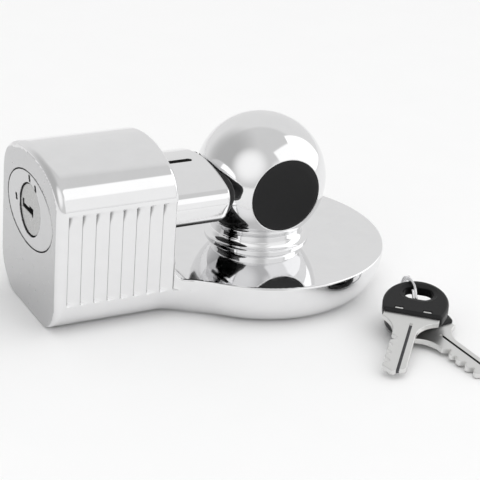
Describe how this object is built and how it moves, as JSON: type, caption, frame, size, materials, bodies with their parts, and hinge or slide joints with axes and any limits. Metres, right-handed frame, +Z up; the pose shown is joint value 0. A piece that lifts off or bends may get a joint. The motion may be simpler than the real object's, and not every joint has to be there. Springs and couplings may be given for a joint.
{
  "type": "trailer coupler lock",
  "caption": "Chrome-plated trailer coupler lock: a ball on a round foot plate, a fluted key-locked body and a sliding jaw that closes over the coupler's lip.",
  "frame": {"origin": "on the ball's axis, on the resting plane under the foot plate", "axes": "+Z up along the ball's axis, -X towards the key end of the lock body, so the jaw points along +X at the ball"},
  "size_m": [0.1343, 0.1453, 0.0619],
  "materials": {
    "chrome_casting": "polished chrome plating on a zinc die casting",
    "chrome_lock": "polished chrome plating",
    "satin_nickel": "satin nickel plating with turning marks",
    "black_plastic": "fine-grained moulded plastic",
    "brass": "machined",
    "spring_steel": "drawn wire",
    "plain_steel": "zinc-plated",
    "dark_steel": "black oxide",
    "key_metal": "nickel-plated, with fine length-wise scratches",
    "ring_steel": "nickel-plated spring wire"
  },
  "bodies": {
    "lock_body": {"base_casting": "chrome_casting", "ball_plug": "black_plastic", "lock_housing": "chrome_lock", "pin_chamber_cap": "brass", "driver_pins": "brass", "pin_springs": "spring_steel", "housing_screw": "dark_steel", "bolt_guide": "plain_steel", "bolt_springs": "spring_steel", "jaw_stop_pin": "plain_steel", "bottom_cover": "plain_steel", "cover_screws": "dark_steel"},
    "jaw": {"sliding_jaw": "chrome_casting", "jaw_end_cap": "black_plastic", "rack_frame": "plain_steel", "jaw_screws": "dark_steel"},
    "plug": {"lock_plug": "satin_nickel", "key_pins": "brass", "lock_cam": "plain_steel", "cam_screw": "dark_steel"},
    "bolt": {"locking_bolt": "plain_steel"},
    "ring": {"split_ring": "ring_steel"},
    "key_a": {"key_a_blade": "key_metal", "key_a_head": "black_plastic"},
    "key_b": {"key_b_blade": "key_metal", "key_b_head": "black_plastic"}
  },
  "joints": [
    {"name": "jaw_slide", "type": "slide", "parent": "lock_body", "child": "jaw", "axis": [-1, 0, 0], "range_m": [0, 0.015]},
    {"name": "plug_turn", "type": "hinge", "parent": "lock_body", "child": "plug", "pos_m": [-0.088, 0, 0.0374], "axis": [1, 0, 0], "range_deg": [0, 90]},
    {"name": "bolt_slide", "type": "slide", "parent": "lock_body", "child": "bolt", "axis": [0, 0, -1], "range_m": [0, 0.0034], "deforming": ["bolt_springs"]},
    {"name": "key_set_lift", "type": "slide", "parent": "lock_body", "child": "ring", "axis": [0, 0, 1], "range_m": [0, 0.04]},
    {"name": "key_a_swing", "type": "hinge", "parent": "ring", "child": "key_a", "pos_m": [0.03285, -0.05739, 0.01104], "axis": [-0.1278, -0.144, 0.9813], "range_deg": [-6, 6]},
    {"name": "key_b_swing", "type": "hinge", "parent": "ring", "child": "key_b", "pos_m": [0.03285, -0.05739, 0.00407], "axis": [0.0097, -0.0691, 0.9976], "range_deg": [-6, 6]}
  ],
  "couplings": [
    {"joint": "bolt_slide", "follows": "plug_turn", "m_per_rad": 0.0021645}
  ]
}
